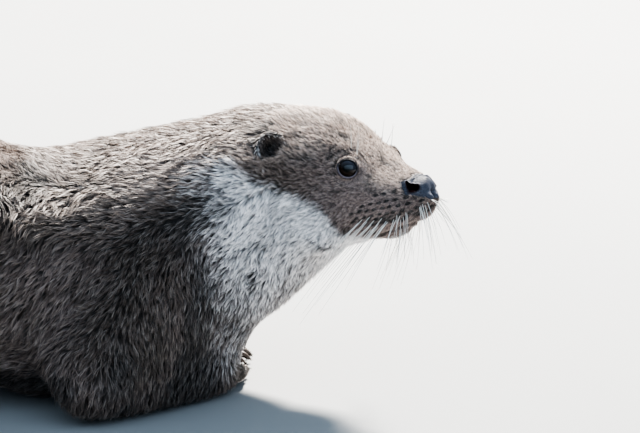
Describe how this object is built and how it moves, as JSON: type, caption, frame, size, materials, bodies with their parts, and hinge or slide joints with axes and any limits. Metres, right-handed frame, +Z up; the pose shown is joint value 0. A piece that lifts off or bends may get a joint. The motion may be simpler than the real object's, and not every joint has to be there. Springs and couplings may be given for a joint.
{
  "type": "river otter",
  "caption": "Life-size Eurasian otter lying on its chest, rump raised and head turned, with dense brown fur, pale throat, long tapering tail and webbed feet.",
  "frame": {"origin": "centre of the animal's box at floor level", "axes": "+X forward along the body, from the tail towards the nose; +Y the animal's left; +Z up"},
  "size_m": [0.8826, 0.24, 0.2234],
  "materials": {
    "coat": "dense brown fur with pale grizzled tips",
    "pale_coat": "short pale grey fur of the chin, cheeks and throat",
    "nose_leather": "moist pebbled grey skin",
    "eye": "wet, glossy dark brown",
    "claw": "smooth horn",
    "whisker": "fine stiff off-white hair"
  },
  "bodies": {
    "root": {"head": "coat", "lower_jaw": "pale_coat", "nose": "nose_leather", "eye_right": "eye", "eye_left": "eye", "ear_right": "coat", "ear_left": "coat", "neck": "coat", "chest": "coat", "loins": "coat", "tail_base": "coat", "tail_middle": "coat", "tail_tip": "coat", "upper_arm_right": "coat", "forearm_right": "coat", "forepaw_right": "coat", "upper_arm_left": "coat", "forearm_left": "coat", "forepaw_left": "coat", "thigh_right": "coat", "shank_right": "coat", "hindfoot_right": "coat", "thigh_left": "coat", "shank_left": "coat", "hindfoot_left": "coat"}
  },
  "joints": []
}
